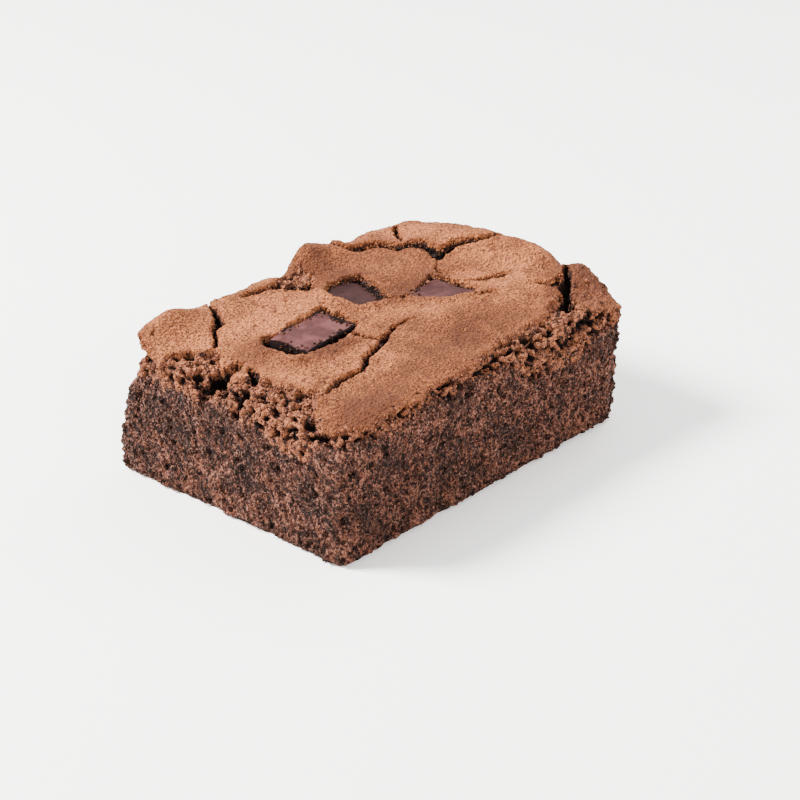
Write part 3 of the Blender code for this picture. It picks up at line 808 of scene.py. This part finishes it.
class BROWNIE_OT_crust(bpy.types.Operator):
    """Folds a grid over the slab's top and upper sides and carves its cracks and openings"""

    bl_idname = "brownie.crust"
    bl_label = "Crust"

    def execute(self, context):
        sizes = context.scene.brownie_sizes
        cell, skirt = sizes.crust_cell, sizes.skirt
        down = round(skirt / cell)
        counts = [round(side / cell) + 2 * down for side in (LENGTH, WIDTH)]
        piece = new_grid("crust", *counts)
        points = active_points(piece)
        steps = [count - 2 * down for count in counts]
        flat = points[:, :2] * counts / steps * (LENGTH, WIDTH)
        past_edge = np.maximum(abs(flat) - (LENGTH / 2, WIDTH / 2), 0)
        beyond = past_edge * (steps[0] / LENGTH, steps[1] / WIDTH) / down
        select_points(piece, (beyond > 1e-4).all(axis=1))
        folded = np.clip(flat, (-LENGTH / 2, -WIDTH / 2), (LENGTH / 2, WIDTH / 2))
        move_points(piece, np.column_stack([folded, HEIGHT - skirt * beyond.max(axis=1)]))
        in_edit_mode([(bpy.ops.mesh.delete, {"type": "VERT"})])
        merge_points(0.01)

        box = active_points(piece)
        base = formed(box)
        move_points(piece, base)
        normals = normals_of(piece)
        end = smooth(HEIGHT - skirt + 2.4, HEIGHT - skirt + 0.2, box[:, 2] + 0.8 * waves(base, 1.8, 70.0))
        skin, broken, lip = rim_shares(box, base)
        torn = 1 - skin
        rubble, hole = crumb_relief(base, broken)
        deep_hole = hole_depth(base) * torn

        depth, lips = carved(base)
        depth *= smooth(0, 3, base[:, 2] - (HEIGHT - 7))
        worn = smooth(-0.5, 0.8, inside_depth(base[:, :2], WORN))
        near, number = pebbles(base, 1.1, 50.0)
        pits = np.where(number > 0.88 - 0.3 * worn, smooth(0.6, 0.85, near), 0)
        fine = (
            0.2 * waves(base, 6.0, 80.0) + 0.2 * waves(base, 2.6, 1.0)
            + 0.09 * waves(base, 1.1, 4.0) + 0.07 * waves(base, 0.6, 7.0)
        )
        fine += worn * (0.5 * waves(base, 1.8, 44.0) + 0.35 * waves(base, 0.8, 45.0))
        crumbly = 0.5 * (pebbles(base, 0.8, 90.0)[0] - 0.5) * smooth(0.3, 1.6, depth)
        cracked = smooth(0.1, 1.2, depth)
        flat = smooth(HEIGHT - 5, HEIGHT - 1.5, base[:, 2])
        out = skin * (fine + lips + 0.3 * lip - 0.3 * pits) * (1 - cracked) + skin * cracked * lips + crumbly
        out += torn * (rubble - 0.75 * flat) - deep_hole - 2.2 * end + 0.12
        corner = smooth(-35, -39.5, box[:, 0]) * smooth(18, 24, box[:, 1]) * smooth(25, 24, box[:, 2])
        out -= corner * (0.3 + 0.85 * np.maximum(out, 0))
        points = base + normals * out[:, None]
        points[:, 2] -= depth
        points -= outward(base) * (depth * 0.5 * torn)[:, None]
        move_points(piece, points)
        select_points(piece, box[:, 2] < HEIGHT - skirt + 0.01)
        close_over()
        turn_out()
        pale = torn * pale_crumb(base, broken)
        whole = skin * (1 - 0.25 * worn) * (1 - cracked)
        # Painted shade: pits, holes, cracks and openings darkened by their depth
        dark = np.maximum(hole * torn, pits * 0.5 * skin)
        dark = np.maximum(dark, smooth(0.5, 2.4, depth + deep_hole * 1.3))
        # The crust's tone: painted light and shade and its own browning from the tones table, plus random
        # tone
        tone = np.full(len(base), 0.3)
        for middle_x, middle_y, reach_x, reach_y, amount in TONES_AND_PAINTED_LIGHT:
            reached = ((base[:, 0] - middle_x) / reach_x) ** 2 + ((base[:, 1] - middle_y) / reach_y) ** 2
            tone += amount * np.exp(-reached)
        tone += 0.2 * waves(base, 6.0, 71.0) + 0.15 * waves(base, 2.4, 72.0)
        tone = np.where(skin > 0.5, tone, 0.6 * crumb_tone(base) * (1 - 0.7 * broken))
        coarse = np.maximum(broken, 0.25 * worn)
        tint(piece, np.maximum(whole, pale * (1 - cracked)), dark, coarse, np.clip(tone, 0, 1))
        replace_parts(finished(piece, bpy.data.materials["baked_crust"]), "brownie")
        return {"FINISHED"}


class BROWNIE_OT_crumb(bpy.types.Operator):
    """Wraps a grid round the slab's sides, closes it under the slab, and roughens it into cut crumb"""

    bl_idname = "brownie.crumb"
    bl_label = "Crumb"

    def execute(self, context):
        cell = context.scene.brownie_sizes.crumb_cell
        under = [WIDTH / 2 * (1 - (row / UNDER_ROWS) ** 0.6) for row in range(1, UNDER_ROWS)]
        wall = np.arange(0, CRUMB_TOP, cell)
        insets = np.concatenate([under, np.zeros(len(wall)), OVER_INSETS])
        levels = np.concatenate([np.zeros(len(under)), wall, np.full(len(OVER_INSETS), CRUMB_TOP)])
        piece = new_grid("crumb", round(ROUND / cell), len(insets) - 1)
        grid = active_points(piece)
        column = (grid[:, 0] + 0.5) * ROUND
        row = np.rint((grid[:, 1] + 0.5) * (len(insets) - 1)).astype(int)
        corners = np.array([0, LENGTH, LENGTH + WIDTH, 2 * LENGTH + WIDTH, ROUND])
        edge_x = np.interp(column, corners, np.array([-1, 1, 1, -1, -1])) * LENGTH / 2
        edge_y = np.interp(column, corners, np.array([-1, -1, 1, 1, -1])) * WIDTH / 2
        base = formed(np.column_stack([edge_x, edge_y, levels[row]]))
        base[:, :2] *= (1 - insets[row] / (WIDTH / 2))[:, None]
        base[:, 2] = np.where(insets[row] > 0, levels[row], base[:, 2])
        move_points(piece, base)
        merge_points(0.005)
        base = active_points(piece)
        box = lowered(base)
        coarse = rim_shares(box, base)[1]
        relief, hole = crumb_relief(base, coarse)
        margin = np.minimum(LENGTH / 2 - abs(base[:, 0]), WIDTH / 2 - abs(base[:, 1]))
        side = smooth(4.0, 2.6, margin) * smooth(0.0, 0.5, base[:, 2])
        side *= smooth(CRUMB_TOP, CRUMB_TOP - 0.5, box[:, 2])
        push = outward(base) * (side * relief)[:, None]
        low = smooth(0.4, 0.0, base[:, 2]) * smooth(3.0, 1.0, margin)
        push += outward(base) * (low * 0.5 * relief)[:, None]
        move_points(piece, base + push)
        on_lid = active_points(piece)[:, 2] > CRUMB_TOP - 0.01
        # The pores' depth darkens them as painted shade; the tone carries the near side's painted light
        tint(piece, pale_crumb(base, coarse), hole * side, coarse, crumb_tone(base))
        middle = (abs(base[:, :2]) < (0.3 * LENGTH / 2, 0.3 * WIDTH / 2)).all(axis=1)
        for ring in (on_lid & (margin > OVER_INSETS[-1] - 1.2), middle & (base[:, 2] < 0.01)):
            select_points(piece, ring)
            close_over()
        turn_out()
        finished(piece, bpy.data.materials["baked_crumb"])
        return {"FINISHED"}


def surface_samples(piece, count, weight, random):
    """Places on the piece's faces picked by area times weight, with their normals and baked values."""
    mesh = piece.data

    def read(items, name, width=1, kind=float):
        values = np.empty(len(items) * width, kind)
        items.foreach_get(name, values)
        return values.reshape(-1, width) if width > 1 else values

    centres = read(mesh.polygons, "center", 3) / MM + np.array(MIDDLE)
    normals = read(mesh.polygons, "normal", 3)
    areas = read(mesh.polygons, "area")
    corners = read(mesh.loops, "vertex_index", kind=int)
    baked = read(mesh.color_attributes["bake"].data, "color", 4)[corners]
    baked = np.maximum.reduceat(baked, read(mesh.polygons, "loop_start", kind=int))
    chance = areas * weight(centres, normals, baked)
    chosen = random.choice(len(chance), count, p=chance / chance.sum())
    return centres[chosen], normals[chosen], baked[chosen]


def scatter(name, template, places, normals, random, sizes, sink, baked):
    """One piece of many grains: copies of the template, each turned, squashed and sunk in its place."""
    count = len(places)
    shape = active_points(template)
    faces = np.array([tuple(face.vertices) for face in template.data.polygons])
    size = sizes[0] * (sizes[1] / sizes[0]) ** (random.random(count) ** 1.5)
    turns = np.linalg.qr(random.normal(size=(count, 3, 3)))[0]
    turns *= np.sign(np.linalg.det(turns))[:, None, None]
    squash = 0.6 + 0.6 * random.random((count, 1, 3))
    dents = 1 + 0.26 * random.normal(size=(count, len(shape), 1)).clip(-1.5, 1.5)
    grains = np.einsum("nij,nkj->nki", turns, shape[None] * squash * dents) * (size / 2)[:, None, None]
    grains += (places - normals * (size * sink)[:, None])[:, None, :]
    grains[:, :, 2] = np.maximum(grains[:, :, 2], GRAIN_FLOOR)
    mesh = bpy.data.meshes.new(name)
    offsets = (np.arange(count) * len(shape))[:, None, None]
    all_faces = (faces[None] + offsets).reshape(-1, faces.shape[1])
    mesh.from_pydata(grains.reshape(-1, 3).tolist(), [], all_faces.tolist())
    piece = bpy.data.objects.new(name, mesh)
    bpy.context.scene.collection.objects.link(piece)
    tint(piece, *np.repeat(baked, len(shape), axis=0).T)
    return finished(piece, bpy.data.materials["baked_crumb"], smoothly=False)


def steepness(normals):
    """0 on level faces, 1 on steep ones."""
    return smooth(0.2, 0.6, np.linalg.norm(normals[:, :2], axis=1))


class BROWNIE_OT_grains(bpy.types.Operator):
    """Scatters crumb grains over the cut sides, the broken rim and the cracks"""

    bl_idname = "brownie.grains"
    bl_label = "Grains"

    def execute(self, context):
        count = context.scene.brownie_sizes.grains
        template = new_primitive(bpy.ops.mesh.primitive_ico_sphere_add, "grain", subdivisions=1, radius=1)
        crust, crumb = bpy.data.objects["crust"], bpy.data.objects["crumb"]

        def on_sides(places, normals, baked):
            under_crust = smooth(0.5, 0.2, baked[:, 0]) * smooth(0.6, 0.3, baked[:, 2])
            if piece == crumb:
                under_crust *= smooth(19, 18, lowered(places)[:, 2])
            dry = 1.15 - 0.85 * baked[:, 3]
            upright = steepness(normals) * smooth(0.2, 1.0, places[:, 2])
            return upright * (1 - 0.7 * baked[:, 1]) * under_crust * dry

        for name, piece, share, sizes in (
            ("side_grains", crumb, 0.9, (0.4, 1.4)),
            ("side_grains_fine", crumb, 1, (0.25, 0.65)),
            ("side_grains_finest", crumb, 1, (0.3, 0.9)),
            ("upper_grains", crust, 0.8, (0.3, 1.0)),
        ):
            amount = round(count * share)
            random = np.random.default_rng(round(10 * share) + len(name))
            places, normals, baked = surface_samples(piece, amount, on_sides, random)
            baked[:, 0] = 0.45 * random.random(amount) ** 5
            # Grains keep part of the painted shade of the hole under them
            baked[:, 1] *= 0.6
            # The grains take the crumb's tone, with the near side's painted light
            baked[:, 3] = np.clip(crumb_tone(places) + 0.45 * random.normal(size=amount), 0, 1)
            scatter(name, template, places, normals, random, sizes, 0.2, baked)

        def on_rim(places, normals, baked):
            return baked[:, 2] ** 2 * smooth(17, 19, places[:, 2]) * (1 - baked[:, 1]) ** 1.5

        for name, seed, share, sizes in (
            ("rim_grains", 6, 0.6, (0.4, 1.2)),
            ("rim_grains_fine", 7, 1, (0.25, 0.7)),
        ):
            random = np.random.default_rng(seed)
            amount = round(count * share)
            places, normals, baked = surface_samples(crust, amount, on_rim, random)
            baked[:, 0] = np.clip(baked[:, 0] + 0.45 * random.normal(size=amount), 0, 0.95)
            # Grains keep part of the painted shade of the hole under them
            baked[:, 1] *= 0.8
            baked[:, 3] = random.random(amount) ** 1.5
            scatter(name, template, places, normals, random, sizes, 0.15, baked)

        def in_cracks(places, normals, baked):
            return smooth(0.02, 0.2, baked[:, 1]) * steepness(normals) * smooth(0.7, 0.4, baked[:, 2])

        random = np.random.default_rng(8)
        places, normals, baked = surface_samples(crust, count, in_cracks, random)
        below = crust_level(places[:, 0], places[:, 1]) - places[:, 2]
        baked[:, 0] = np.clip(0.75 - 0.5 * below + 0.25 * random.normal(size=count), 0, 0.95)
        # Grains deeper in a crack are darker: painted shade
        baked[:, 1] = 0.6 * smooth(0.6, 2.0, below)
        baked[:, 3] = np.clip(0.3 * below + 0.3 * random.random(count), 0, 1)
        scatter("crack_grains", template, places, normals, random, (0.3, 0.85), 0.15, baked)

        def on_chunk_edges(places, normals, baked):
            edge = smooth(0.3, 0.6, baked[:, 1]) * smooth(-0.3, 0.3, normals[:, 2])
            return edge * smooth(23, 24, places[:, 2])

        for number, (node, *_) in enumerate(CHUNKS):
            random = np.random.default_rng(30 + number)
            amount = count // 40
            chunk = bpy.data.objects[f"set_in_{node}"]
            places, normals, baked = surface_samples(chunk, amount, on_chunk_edges, random)
            baked[:, 0] = 0.6 * random.random(amount) ** 2
            baked[:, 1] = 0.5 * random.random(amount)
            baked[:, 3] = random.random(amount)
            scatter(f"crumbs_on_{node}", template, places, normals, random, (0.35, 1.1), 0.1, baked)

        def at_foot(places, normals, baked):
            return smooth(1.6, 0.4, places[:, 2]) * steepness(normals)

        random = np.random.default_rng(9)
        amount = count // 12
        places, normals, baked = surface_samples(crumb, amount, at_foot, random)
        places[:, 2] = np.maximum(places[:, 2], 0.75)
        baked[:, 3] = random.random(amount) ** 1.5 * 0.7
        scatter("foot_crumbs", template, places, normals, random, (0.6, 1.4), -0.05, baked)
        bpy.data.objects.remove(template)
        return {"FINISHED"}


class BROWNIE_OT_chunks(bpy.types.Operator):
    """Shapes each chocolate chunk from a cube with softened edges and a faintly uneven top"""

    bl_idname = "brownie.chunks"
    bl_label = "Chocolate Chunks"

    def execute(self, context):
        for node, middle_x, middle_y, length, width, turn, top, lean, shade in CHUNKS:
            piece = new_primitive(bpy.ops.mesh.primitive_cube_add, f"set_in_{node}", size=1)
            move_points(piece, active_points(piece) * (length, width, CHUNK_HEIGHT))
            bevel = piece.modifiers.new("soft_edges", "BEVEL")
            bevel.width = CHUNK_EDGE
            bevel.segments = 3
            bpy.ops.object.modifier_apply(modifier=bevel.name)
            in_edit_mode([(bpy.ops.mesh.subdivide, {"number_cuts": 6})], everything=True)
            points = active_points(piece)
            shift = np.array((middle_x, middle_y, 0.0))
            spot = points + shift
            melt = 0.3 * waves(spot, 4.0, 11.0) + 0.12 * waves(spot, 1.3, 21.0)
            upper = smooth(0, 1.0, points[:, 2])[:, None]
            points += normals_of(piece) * melt[:, None] * upper
            points[:, :2] += (0.7 * drift(spot, 4.0, 90.0) + 0.25 * drift(spot, 1.5, 91.0))[:, :2] * upper
            tilt, spin = turning(lean, 1, 2), turning(turn, 0, 1)
            place = np.array((middle_x, middle_y, top - CHUNK_HEIGHT / 2))
            flank = np.maximum(abs(points[:, 0]) - length / 2, abs(points[:, 1]) - width / 2)
            # The sides' level and the chunk's darkness become painted shade in the material: near black sides
            # in the gap round it, partly clinging crumb, and dim tops
            level = np.maximum(smooth(-0.7, 0.0, flank), smooth(2.7, 2.0, points[:, 2]))
            tint(piece, 0.0, level, 0.0, shade)
            move_points(piece, points @ (spin @ tilt).T + place)
            finished(piece, bpy.data.materials["dark_chocolate"], (node,))
        return {"FINISHED"}


class BROWNIE_OT_materials(bpy.types.Operator):
    """Makes the crust, crumb and chocolate materials"""

    bl_idname = "brownie.materials"
    bl_label = "Materials"

    def execute(self, context):
        look = context.scene.brownie_look
        baked_material(look, "baked_crust")
        baked_material(look, "baked_crumb")
        chocolate_material(look)
        return {"FINISHED"}


class BROWNIE_OT_stage(bpy.types.Operator):
    """Adds the pale floor, the soft lights and the camera"""

    bl_idname = "brownie.stage"
    bl_label = "Stage"

    def execute(self, context):
        floor = new_primitive(bpy.ops.mesh.primitive_plane_add, "floor", size=FLOOR_SIZE)
        material, shader, _ = new_material("pale_floor", 0.7)
        shader.inputs["Base Color"].default_value = colour(FLOOR_COLOUR)
        floor.data.materials.append(material)

        world = bpy.data.worlds.new("studio")
        context.scene.world = world
        world.use_nodes = True
        background = world.node_tree.nodes["Background"]
        background.inputs["Color"].default_value = colour(SKY_COLOUR)
        background.inputs["Strength"].default_value = SKY_STRENGTH
        for name, place, size, power, tone in LIGHTS:
            lamp = bpy.data.lights.new(name, "AREA")
            lamp.shape = "DISK"
            lamp.size = size
            lamp.energy = power
            lamp.color = tone
            stand = bpy.data.objects.new(name, lamp)
            context.scene.collection.objects.link(stand)
            stand.location = place
            stand.rotation_euler = (LIGHTS_AIM - stand.location).to_track_quat("-Z", "Y").to_euler()

        lens = bpy.data.cameras.new("camera")
        lens.lens = CAMERA_LENS
        lens.sensor_width = CAMERA_SENSOR
        lens.shift_x, lens.shift_y = CAMERA_SHIFT
        camera = bpy.data.objects.new("camera", lens)
        context.scene.collection.objects.link(camera)
        azimuth, elevation = math.radians(CAMERA_AZIMUTH), math.radians(CAMERA_ELEVATION)
        back = Vector((
            math.sin(azimuth) * math.cos(elevation),
            -math.cos(azimuth) * math.cos(elevation),
            math.sin(elevation),
        ))
        camera.location = (back * CAMERA_DISTANCE + CAMERA_AIM) * MM
        camera.rotation_euler = (-back).to_track_quat("-Z", "Y").to_euler()
        context.scene.camera = camera
        return {"FINISHED"}


class BROWNIE_PT_panel(bpy.types.Panel):
    """The brownie's sizes, colours and steps"""

    bl_idname = "BROWNIE_PT_panel"
    bl_label = "Brownie"
    bl_space_type = "VIEW_3D"
    bl_region_type = "UI"
    bl_category = "Brownie"

    def draw(self, context):
        for group in (context.scene.brownie_sizes, context.scene.brownie_look):
            box = self.layout.box()
            for name in group.__annotations__:
                box.prop(group, name)
        for step in STEPS:
            self.layout.operator(step.bl_idname)


STEPS = (
    BROWNIE_OT_materials,
    BROWNIE_OT_crust,
    BROWNIE_OT_crumb,
    BROWNIE_OT_chunks,
    BROWNIE_OT_grains,
    BROWNIE_OT_stage,
)
CLASSES = (BrownieSizes, BrownieLook, *STEPS, BROWNIE_PT_panel)


def register():
    for kind in CLASSES:
        bpy.utils.register_class(kind)
    bpy.types.Scene.brownie_sizes = bpy.props.PointerProperty(type=BrownieSizes)
    bpy.types.Scene.brownie_look = bpy.props.PointerProperty(type=BrownieLook)


def unregister():
    del bpy.types.Scene.brownie_look
    del bpy.types.Scene.brownie_sizes
    for kind in reversed(CLASSES):
        bpy.utils.unregister_class(kind)


def main():
    register()
    for step in STEPS:
        group, name = step.bl_idname.split(".")
        getattr(getattr(bpy.ops, group), name)()


if __name__ == "__main__":
    main()
